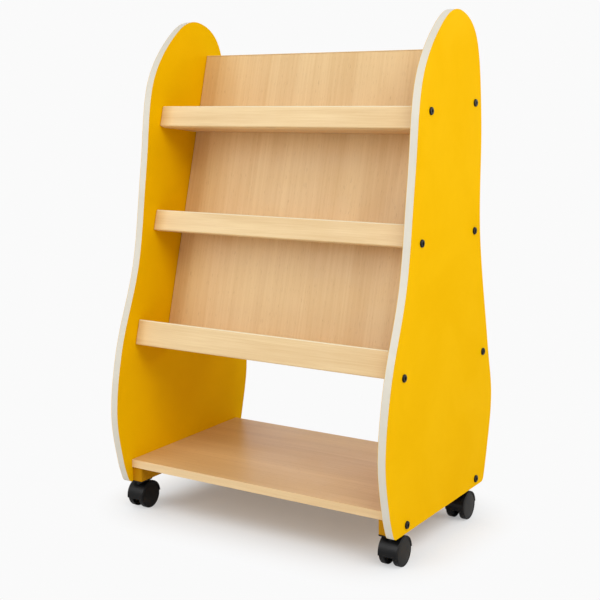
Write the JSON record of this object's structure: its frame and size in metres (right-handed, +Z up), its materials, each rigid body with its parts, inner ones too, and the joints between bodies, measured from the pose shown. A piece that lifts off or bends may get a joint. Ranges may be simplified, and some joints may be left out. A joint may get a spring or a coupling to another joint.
{
  "type": "mobile book display",
  "caption": "Mobile face-out book display with shaped side panels, a leaning back, lipped ledges, an open base shelf, rear rails and hooded swivel casters.",
  "frame": {"origin": "on the floor, under the middle of the side panels' depth and midway between them", "axes": "+Z up, +X to the right-hand panel as seen from the front, front and lips towards -Y"},
  "size_m": [0.7074, 0.5, 1.112],
  "materials": {
    "yellow_laminate": "satin laminate",
    "cream_edging": "satin",
    "beech_laminate": "satin laminate",
    "light_beech": "satin lacquer",
    "black_moulding": "satin",
    "black_wheel": "satin",
    "black_steel": "satin black",
    "zinc_steel": "zinc plated"
  },
  "bodies": {
    "carcass": {"back_panel": "beech_laminate", "back_top_edging": "light_beech", "base_shelf": "beech_laminate", "caster_batten_left": "yellow_laminate", "caster_batten_right": "yellow_laminate", "caster_plate_front_left": "black_steel", "caster_plate_front_right": "black_steel", "caster_plate_rear_left": "black_steel", "caster_plate_rear_right": "black_steel", "caster_stem_front_left": "zinc_steel", "caster_stem_front_right": "zinc_steel", "caster_stem_rear_left": "zinc_steel", "caster_stem_rear_right": "zinc_steel", "edge_band_left": "cream_edging", "edge_band_right": "cream_edging", "ledge_board_bottom": "beech_laminate", "ledge_board_middle": "beech_laminate", "ledge_board_top": "beech_laminate", "ledge_lip_bottom": "light_beech", "ledge_lip_middle": "light_beech", "ledge_lip_top": "light_beech", "rear_rail_bottom": "beech_laminate", "rear_rail_middle": "beech_laminate", "rear_rail_top": "beech_laminate", "shelf_edging_front": "light_beech", "shelf_edging_rear": "light_beech", "side_bolt_left_base_front": "black_steel", "side_bolt_left_base_rear": "black_steel", "side_bolt_left_lip_bottom": "black_steel", "side_bolt_left_lip_middle": "black_steel", "side_bolt_left_lip_top": "black_steel", "side_bolt_left_rail_bottom": "black_steel", "side_bolt_left_rail_middle": "black_steel", "side_bolt_left_rail_top": "black_steel", "side_bolt_right_base_front": "black_steel", "side_bolt_right_base_rear": "black_steel", "side_bolt_right_lip_bottom": "black_steel", "side_bolt_right_lip_middle": "black_steel", "side_bolt_right_lip_top": "black_steel", "side_bolt_right_rail_bottom": "black_steel", "side_bolt_right_rail_middle": "black_steel", "side_bolt_right_rail_top": "black_steel", "side_panel_left": "yellow_laminate", "side_panel_right": "yellow_laminate"},
    "front_left_swivel": {"caster_hood_front_left": "black_moulding", "caster_axle_front_left": "zinc_steel"},
    "front_left_left_wheel": {"caster_wheel_front_left_left": "black_wheel"},
    "front_left_right_wheel": {"caster_wheel_front_left_right": "black_wheel"},
    "front_right_swivel": {"caster_hood_front_right": "black_moulding", "caster_axle_front_right": "zinc_steel"},
    "front_right_left_wheel": {"caster_wheel_front_right_left": "black_wheel"},
    "front_right_right_wheel": {"caster_wheel_front_right_right": "black_wheel"},
    "rear_left_swivel": {"caster_hood_rear_left": "black_moulding", "caster_axle_rear_left": "zinc_steel"},
    "rear_left_left_wheel": {"caster_wheel_rear_left_left": "black_wheel"},
    "rear_left_right_wheel": {"caster_wheel_rear_left_right": "black_wheel"},
    "rear_right_swivel": {"caster_hood_rear_right": "black_moulding", "caster_axle_rear_right": "zinc_steel"},
    "rear_right_left_wheel": {"caster_wheel_rear_right_left": "black_wheel"},
    "rear_right_right_wheel": {"caster_wheel_rear_right_right": "black_wheel"}
  },
  "joints": [
    {"name": "front_left_caster_swivel", "type": "hinge", "parent": "carcass", "child": "front_left_swivel", "pos_m": [-0.3281, -0.184, 0.03], "axis": [0, 0, 1], "continuous": true},
    {"name": "front_left_left_wheel_roll", "type": "hinge", "parent": "front_left_swivel", "child": "front_left_left_wheel", "pos_m": [-0.3372, -0.172, 0.03], "axis": [1, 0, 0], "continuous": true},
    {"name": "front_left_right_wheel_roll", "type": "hinge", "parent": "front_left_swivel", "child": "front_left_right_wheel", "pos_m": [-0.319, -0.172, 0.03], "axis": [1, 0, 0], "continuous": true},
    {"name": "front_right_caster_swivel", "type": "hinge", "parent": "carcass", "child": "front_right_swivel", "pos_m": [0.3281, -0.184, 0.03], "axis": [0, 0, 1], "continuous": true},
    {"name": "front_right_left_wheel_roll", "type": "hinge", "parent": "front_right_swivel", "child": "front_right_left_wheel", "pos_m": [0.319, -0.172, 0.03], "axis": [1, 0, 0], "continuous": true},
    {"name": "front_right_right_wheel_roll", "type": "hinge", "parent": "front_right_swivel", "child": "front_right_right_wheel", "pos_m": [0.3372, -0.172, 0.03], "axis": [1, 0, 0], "continuous": true},
    {"name": "rear_left_caster_swivel", "type": "hinge", "parent": "carcass", "child": "rear_left_swivel", "pos_m": [-0.3281, 0.124, 0.03], "axis": [0, 0, 1], "continuous": true},
    {"name": "rear_left_left_wheel_roll", "type": "hinge", "parent": "rear_left_swivel", "child": "rear_left_left_wheel", "pos_m": [-0.3372, 0.136, 0.03], "axis": [1, 0, 0], "continuous": true},
    {"name": "rear_left_right_wheel_roll", "type": "hinge", "parent": "rear_left_swivel", "child": "rear_left_right_wheel", "pos_m": [-0.319, 0.136, 0.03], "axis": [1, 0, 0], "continuous": true},
    {"name": "rear_right_caster_swivel", "type": "hinge", "parent": "carcass", "child": "rear_right_swivel", "pos_m": [0.3281, 0.124, 0.03], "axis": [0, 0, 1], "continuous": true},
    {"name": "rear_right_left_wheel_roll", "type": "hinge", "parent": "rear_right_swivel", "child": "rear_right_left_wheel", "pos_m": [0.319, 0.136, 0.03], "axis": [1, 0, 0], "continuous": true},
    {"name": "rear_right_right_wheel_roll", "type": "hinge", "parent": "rear_right_swivel", "child": "rear_right_right_wheel", "pos_m": [0.3372, 0.136, 0.03], "axis": [1, 0, 0], "continuous": true}
  ]
}
